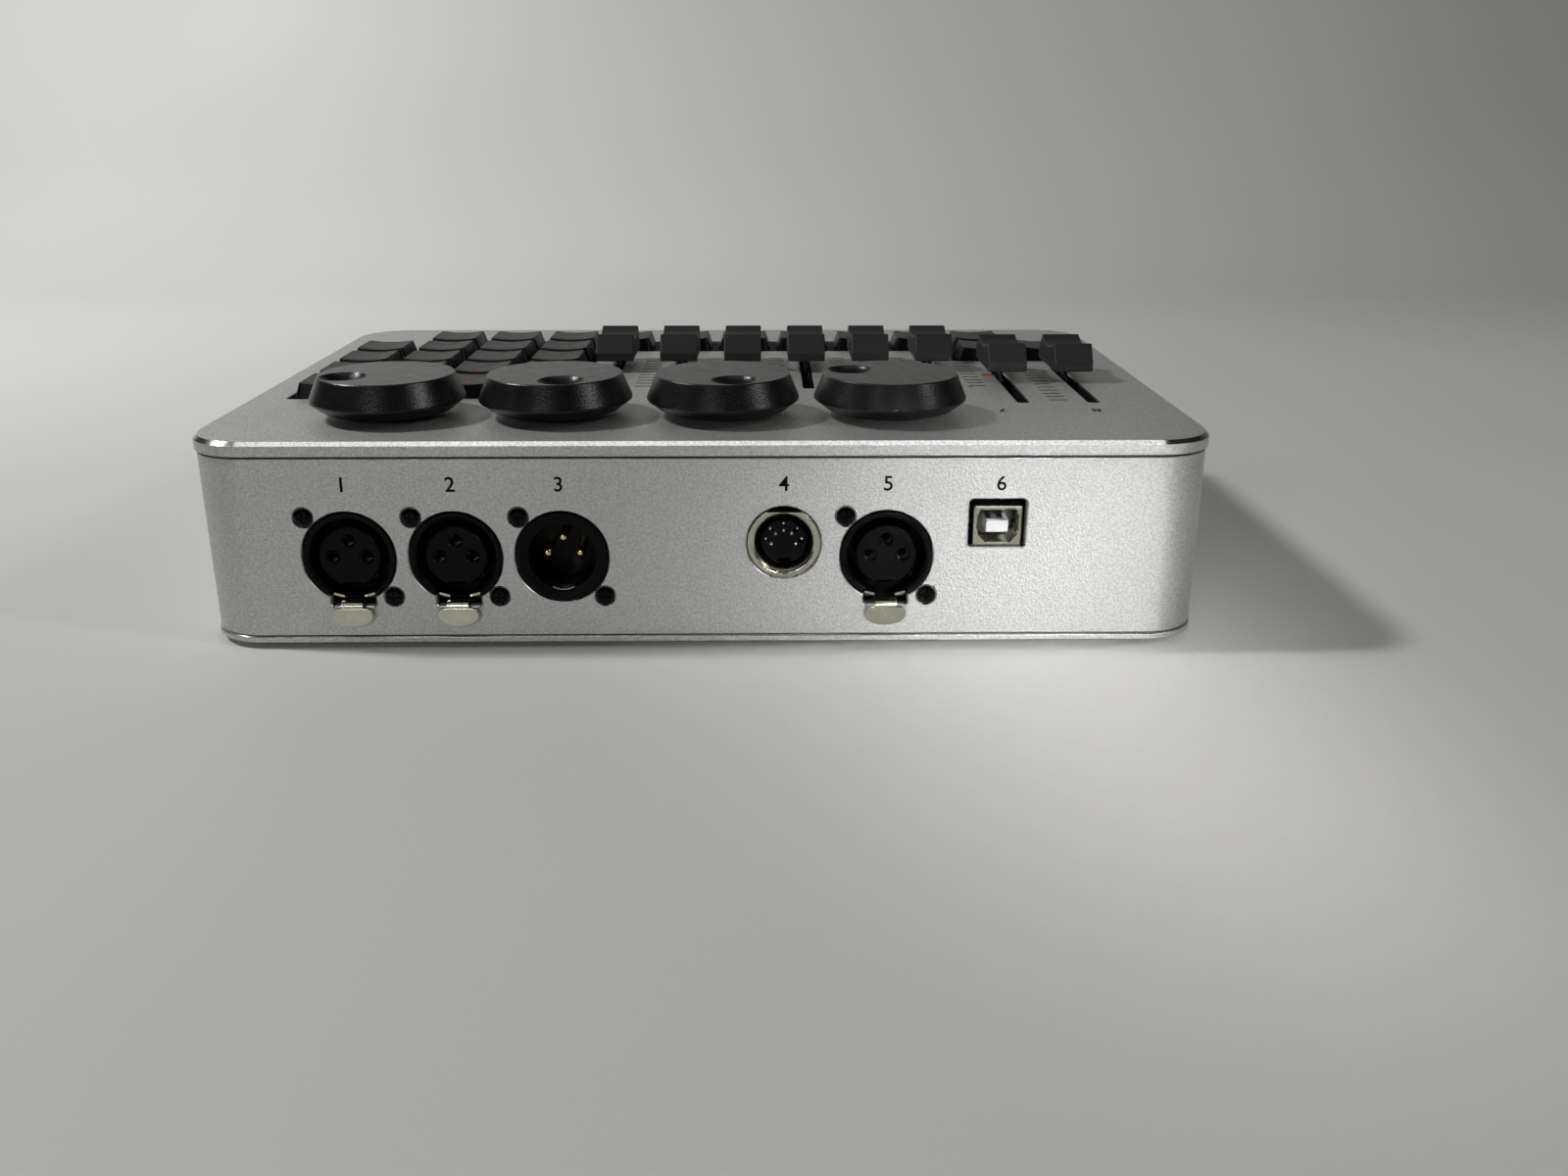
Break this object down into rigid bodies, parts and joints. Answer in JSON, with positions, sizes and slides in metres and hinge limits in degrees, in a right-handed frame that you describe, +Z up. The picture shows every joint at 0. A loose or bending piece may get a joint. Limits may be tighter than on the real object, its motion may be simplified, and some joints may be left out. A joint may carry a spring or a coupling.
{
  "type": "lighting console wing",
  "caption": "Low silver desk case with press keys, slide faders and flat dimpled rotary knobs on its lid and round latching, round multi-way and square data sockets in one side wall.",
  "frame": {"origin": "on the table, under the middle of the box that the whole object fills", "axes": "+X along the long side, to the right when the sockets face the viewer; -Y out of the socket wall; +Z up out of the lid"},
  "size_m": [0.25, 0.1748, 0.0635],
  "materials": {
    "anodised_aluminium": "bead-blasted, silver anodised",
    "key_plastic": "moulded, fine satin grain",
    "cap_plastic": "moulded, matte",
    "knob_plastic": "moulded, matte top over grained sides",
    "socket_black": "black, satin",
    "nickel": "bright nickel plate",
    "gold_contacts": "gold plated pins in a black carrier",
    "circuit_board": "black solder mask",
    "white_plastic": "white moulding",
    "foot_rubber": "matte black rubber"
  },
  "bodies": {
    "case": {"top_lid": "anodised_aluminium", "case_wall": "anodised_aluminium", "base_plate": "anodised_aluminium", "control_board": "circuit_board", "socket_board": "circuit_board", "xlr_socket_1": "socket_black", "xlr_socket_2": "socket_black", "xlr_socket_3": "socket_black", "xlr_socket_4": "socket_black", "xlr_pin_carrier_3": "gold_contacts", "din_shield": "nickel", "usb_shell": "nickel", "usb_insert": "white_plastic", "foot_front_left": "foot_rubber", "foot_front_right": "foot_rubber", "foot_back_left": "foot_rubber", "foot_back_right": "foot_rubber"},
    "keypad_key_b1": {"keypad_key_b1": "key_plastic"},
    "keypad_key_c1": {"keypad_key_c1": "key_plastic"},
    "keypad_key_d1": {"keypad_key_d1": "key_plastic"},
    "keypad_key_a2": {"keypad_key_a2": "key_plastic"},
    "keypad_key_b2": {"keypad_key_b2": "key_plastic"},
    "keypad_key_c2": {"keypad_key_c2": "key_plastic"},
    "keypad_key_d2": {"keypad_key_d2": "key_plastic"},
    "keypad_key_a3": {"keypad_key_a3": "key_plastic"},
    "keypad_key_b3": {"keypad_key_b3": "key_plastic"},
    "keypad_key_c3": {"keypad_key_c3": "key_plastic"},
    "keypad_key_d3": {"keypad_key_d3": "key_plastic"},
    "keypad_key_a4": {"keypad_key_a4": "key_plastic"},
    "keypad_key_b4": {"keypad_key_b4": "key_plastic"},
    "keypad_key_c4": {"keypad_key_c4": "key_plastic"},
    "keypad_key_d4": {"keypad_key_d4": "key_plastic"},
    "keypad_key_a5": {"keypad_key_a5": "key_plastic"},
    "keypad_key_b5": {"keypad_key_b5": "key_plastic"},
    "keypad_key_c5": {"keypad_key_c5": "key_plastic"},
    "keypad_key_d5": {"keypad_key_d5": "key_plastic"},
    "executor_key_1": {"executor_key_1": "key_plastic"},
    "executor_key_2": {"executor_key_2": "key_plastic"},
    "executor_key_3": {"executor_key_3": "key_plastic"},
    "executor_key_4": {"executor_key_4": "key_plastic"},
    "executor_key_5": {"executor_key_5": "key_plastic"},
    "executor_key_6": {"executor_key_6": "key_plastic"},
    "crossfade_key_1": {"crossfade_key_1": "key_plastic"},
    "crossfade_key_2": {"crossfade_key_2": "key_plastic"},
    "master_key": {"master_key": "key_plastic"},
    "channel_fader_cap_1": {"channel_fader_cap_1": "cap_plastic"},
    "channel_fader_cap_2": {"channel_fader_cap_2": "cap_plastic"},
    "channel_fader_cap_3": {"channel_fader_cap_3": "cap_plastic"},
    "channel_fader_cap_4": {"channel_fader_cap_4": "cap_plastic"},
    "channel_fader_cap_5": {"channel_fader_cap_5": "cap_plastic"},
    "channel_fader_cap_6": {"channel_fader_cap_6": "cap_plastic"},
    "crossfader_cap": {"crossfader_cap": "cap_plastic"},
    "master_fader_cap": {"master_fader_cap": "cap_plastic"},
    "encoder_knob_1": {"encoder_knob_1": "knob_plastic"},
    "encoder_knob_2": {"encoder_knob_2": "knob_plastic"},
    "encoder_knob_3": {"encoder_knob_3": "knob_plastic"},
    "encoder_knob_4": {"encoder_knob_4": "knob_plastic"},
    "xlr_latch_1": {"xlr_latch_1": "nickel"},
    "xlr_latch_2": {"xlr_latch_2": "nickel"},
    "xlr_latch_4": {"xlr_latch_4": "nickel"}
  },
  "joints": [
    {"name": "keypad_key_b1_press", "type": "slide", "parent": "case", "child": "keypad_key_b1", "axis": [0, 0, -1], "range_m": [0, 0.0025], "stiffness_N_per_m": 250, "springref_m": -0.001},
    {"name": "keypad_key_c1_press", "type": "slide", "parent": "case", "child": "keypad_key_c1", "axis": [0, 0, -1], "range_m": [0, 0.0025], "stiffness_N_per_m": 250, "springref_m": -0.001},
    {"name": "keypad_key_d1_press", "type": "slide", "parent": "case", "child": "keypad_key_d1", "axis": [0, 0, -1], "range_m": [0, 0.0025], "stiffness_N_per_m": 250, "springref_m": -0.001},
    {"name": "keypad_key_a2_press", "type": "slide", "parent": "case", "child": "keypad_key_a2", "axis": [0, 0, -1], "range_m": [0, 0.0025], "stiffness_N_per_m": 250, "springref_m": -0.001},
    {"name": "keypad_key_b2_press", "type": "slide", "parent": "case", "child": "keypad_key_b2", "axis": [0, 0, -1], "range_m": [0, 0.0025], "stiffness_N_per_m": 250, "springref_m": -0.001},
    {"name": "keypad_key_c2_press", "type": "slide", "parent": "case", "child": "keypad_key_c2", "axis": [0, 0, -1], "range_m": [0, 0.0025], "stiffness_N_per_m": 250, "springref_m": -0.001},
    {"name": "keypad_key_d2_press", "type": "slide", "parent": "case", "child": "keypad_key_d2", "axis": [0, 0, -1], "range_m": [0, 0.0025], "stiffness_N_per_m": 250, "springref_m": -0.001},
    {"name": "keypad_key_a3_press", "type": "slide", "parent": "case", "child": "keypad_key_a3", "axis": [0, 0, -1], "range_m": [0, 0.0025], "stiffness_N_per_m": 250, "springref_m": -0.001},
    {"name": "keypad_key_b3_press", "type": "slide", "parent": "case", "child": "keypad_key_b3", "axis": [0, 0, -1], "range_m": [0, 0.0025], "stiffness_N_per_m": 250, "springref_m": -0.001},
    {"name": "keypad_key_c3_press", "type": "slide", "parent": "case", "child": "keypad_key_c3", "axis": [0, 0, -1], "range_m": [0, 0.0025], "stiffness_N_per_m": 250, "springref_m": -0.001},
    {"name": "keypad_key_d3_press", "type": "slide", "parent": "case", "child": "keypad_key_d3", "axis": [0, 0, -1], "range_m": [0, 0.0025], "stiffness_N_per_m": 250, "springref_m": -0.001},
    {"name": "keypad_key_a4_press", "type": "slide", "parent": "case", "child": "keypad_key_a4", "axis": [0, 0, -1], "range_m": [0, 0.0025], "stiffness_N_per_m": 250, "springref_m": -0.001},
    {"name": "keypad_key_b4_press", "type": "slide", "parent": "case", "child": "keypad_key_b4", "axis": [0, 0, -1], "range_m": [0, 0.0025], "stiffness_N_per_m": 250, "springref_m": -0.001},
    {"name": "keypad_key_c4_press", "type": "slide", "parent": "case", "child": "keypad_key_c4", "axis": [0, 0, -1], "range_m": [0, 0.0025], "stiffness_N_per_m": 250, "springref_m": -0.001},
    {"name": "keypad_key_d4_press", "type": "slide", "parent": "case", "child": "keypad_key_d4", "axis": [0, 0, -1], "range_m": [0, 0.0025], "stiffness_N_per_m": 250, "springref_m": -0.001},
    {"name": "keypad_key_a5_press", "type": "slide", "parent": "case", "child": "keypad_key_a5", "axis": [0, 0, -1], "range_m": [0, 0.0025], "stiffness_N_per_m": 250, "springref_m": -0.001},
    {"name": "keypad_key_b5_press", "type": "slide", "parent": "case", "child": "keypad_key_b5", "axis": [0, 0, -1], "range_m": [0, 0.0025], "stiffness_N_per_m": 250, "springref_m": -0.001},
    {"name": "keypad_key_c5_press", "type": "slide", "parent": "case", "child": "keypad_key_c5", "axis": [0, 0, -1], "range_m": [0, 0.0025], "stiffness_N_per_m": 250, "springref_m": -0.001},
    {"name": "keypad_key_d5_press", "type": "slide", "parent": "case", "child": "keypad_key_d5", "axis": [0, 0, -1], "range_m": [0, 0.0025], "stiffness_N_per_m": 250, "springref_m": -0.001},
    {"name": "executor_key_1_press", "type": "slide", "parent": "case", "child": "executor_key_1", "axis": [0, 0, -1], "range_m": [0, 0.0025], "stiffness_N_per_m": 250, "springref_m": -0.001},
    {"name": "executor_key_2_press", "type": "slide", "parent": "case", "child": "executor_key_2", "axis": [0, 0, -1], "range_m": [0, 0.0025], "stiffness_N_per_m": 250, "springref_m": -0.001},
    {"name": "executor_key_3_press", "type": "slide", "parent": "case", "child": "executor_key_3", "axis": [0, 0, -1], "range_m": [0, 0.0025], "stiffness_N_per_m": 250, "springref_m": -0.001},
    {"name": "executor_key_4_press", "type": "slide", "parent": "case", "child": "executor_key_4", "axis": [0, 0, -1], "range_m": [0, 0.0025], "stiffness_N_per_m": 250, "springref_m": -0.001},
    {"name": "executor_key_5_press", "type": "slide", "parent": "case", "child": "executor_key_5", "axis": [0, 0, -1], "range_m": [0, 0.0025], "stiffness_N_per_m": 250, "springref_m": -0.001},
    {"name": "executor_key_6_press", "type": "slide", "parent": "case", "child": "executor_key_6", "axis": [0, 0, -1], "range_m": [0, 0.0025], "stiffness_N_per_m": 250, "springref_m": -0.001},
    {"name": "crossfade_key_1_press", "type": "slide", "parent": "case", "child": "crossfade_key_1", "axis": [0, 0, -1], "range_m": [0, 0.0025], "stiffness_N_per_m": 250, "springref_m": -0.001},
    {"name": "crossfade_key_2_press", "type": "slide", "parent": "case", "child": "crossfade_key_2", "axis": [0, 0, -1], "range_m": [0, 0.0025], "stiffness_N_per_m": 250, "springref_m": -0.001},
    {"name": "master_key_press", "type": "slide", "parent": "case", "child": "master_key", "axis": [0, 0, -1], "range_m": [0, 0.0025], "stiffness_N_per_m": 250, "springref_m": -0.001},
    {"name": "channel_fader_cap_1_slide", "type": "slide", "parent": "case", "child": "channel_fader_cap_1", "axis": [0, 1, 0], "range_m": [-0.0331, 0.0119]},
    {"name": "channel_fader_cap_2_slide", "type": "slide", "parent": "case", "child": "channel_fader_cap_2", "axis": [0, 1, 0], "range_m": [-0.0331, 0.0119]},
    {"name": "channel_fader_cap_3_slide", "type": "slide", "parent": "case", "child": "channel_fader_cap_3", "axis": [0, 1, 0], "range_m": [-0.0331, 0.0119]},
    {"name": "channel_fader_cap_4_slide", "type": "slide", "parent": "case", "child": "channel_fader_cap_4", "axis": [0, 1, 0], "range_m": [-0.0331, 0.0119]},
    {"name": "channel_fader_cap_5_slide", "type": "slide", "parent": "case", "child": "channel_fader_cap_5", "axis": [0, 1, 0], "range_m": [-0.0331, 0.0119]},
    {"name": "channel_fader_cap_6_slide", "type": "slide", "parent": "case", "child": "channel_fader_cap_6", "axis": [0, 1, 0], "range_m": [-0.0331, 0.0119]},
    {"name": "crossfader_cap_slide", "type": "slide", "parent": "case", "child": "crossfader_cap", "axis": [0, 1, 0], "range_m": [-0.0356, 0.0094]},
    {"name": "master_fader_cap_slide", "type": "slide", "parent": "case", "child": "master_fader_cap", "axis": [0, 1, 0], "range_m": [-0.0356, 0.0094]},
    {"name": "encoder_knob_1_turn", "type": "hinge", "parent": "case", "child": "encoder_knob_1", "pos_m": [-0.0813, -0.05565, 0.0525], "axis": [0, 0, 1], "continuous": true},
    {"name": "encoder_knob_2_turn", "type": "hinge", "parent": "case", "child": "encoder_knob_2", "pos_m": [-0.0385, -0.05565, 0.0525], "axis": [0, 0, 1], "continuous": true},
    {"name": "encoder_knob_3_turn", "type": "hinge", "parent": "case", "child": "encoder_knob_3", "pos_m": [0.0043, -0.05565, 0.0525], "axis": [0, 0, 1], "continuous": true},
    {"name": "encoder_knob_4_turn", "type": "hinge", "parent": "case", "child": "encoder_knob_4", "pos_m": [0.0471, -0.05565, 0.0525], "axis": [0, 0, 1], "continuous": true},
    {"name": "xlr_latch_1_press", "type": "hinge", "parent": "case", "child": "xlr_latch_1", "pos_m": [-0.0865, -0.08055, 0.01195], "axis": [1, 0, 0], "range_deg": [0, 6], "stiffness_Nm_per_rad": 0.2, "springref_deg": -2.86},
    {"name": "xlr_latch_2_press", "type": "hinge", "parent": "case", "child": "xlr_latch_2", "pos_m": [-0.0606, -0.08055, 0.01195], "axis": [1, 0, 0], "range_deg": [0, 6], "stiffness_Nm_per_rad": 0.2, "springref_deg": -2.86},
    {"name": "xlr_latch_4_press", "type": "hinge", "parent": "case", "child": "xlr_latch_4", "pos_m": [0.0446, -0.08055, 0.01195], "axis": [1, 0, 0], "range_deg": [0, 6], "stiffness_Nm_per_rad": 0.2, "springref_deg": -2.86}
  ]
}
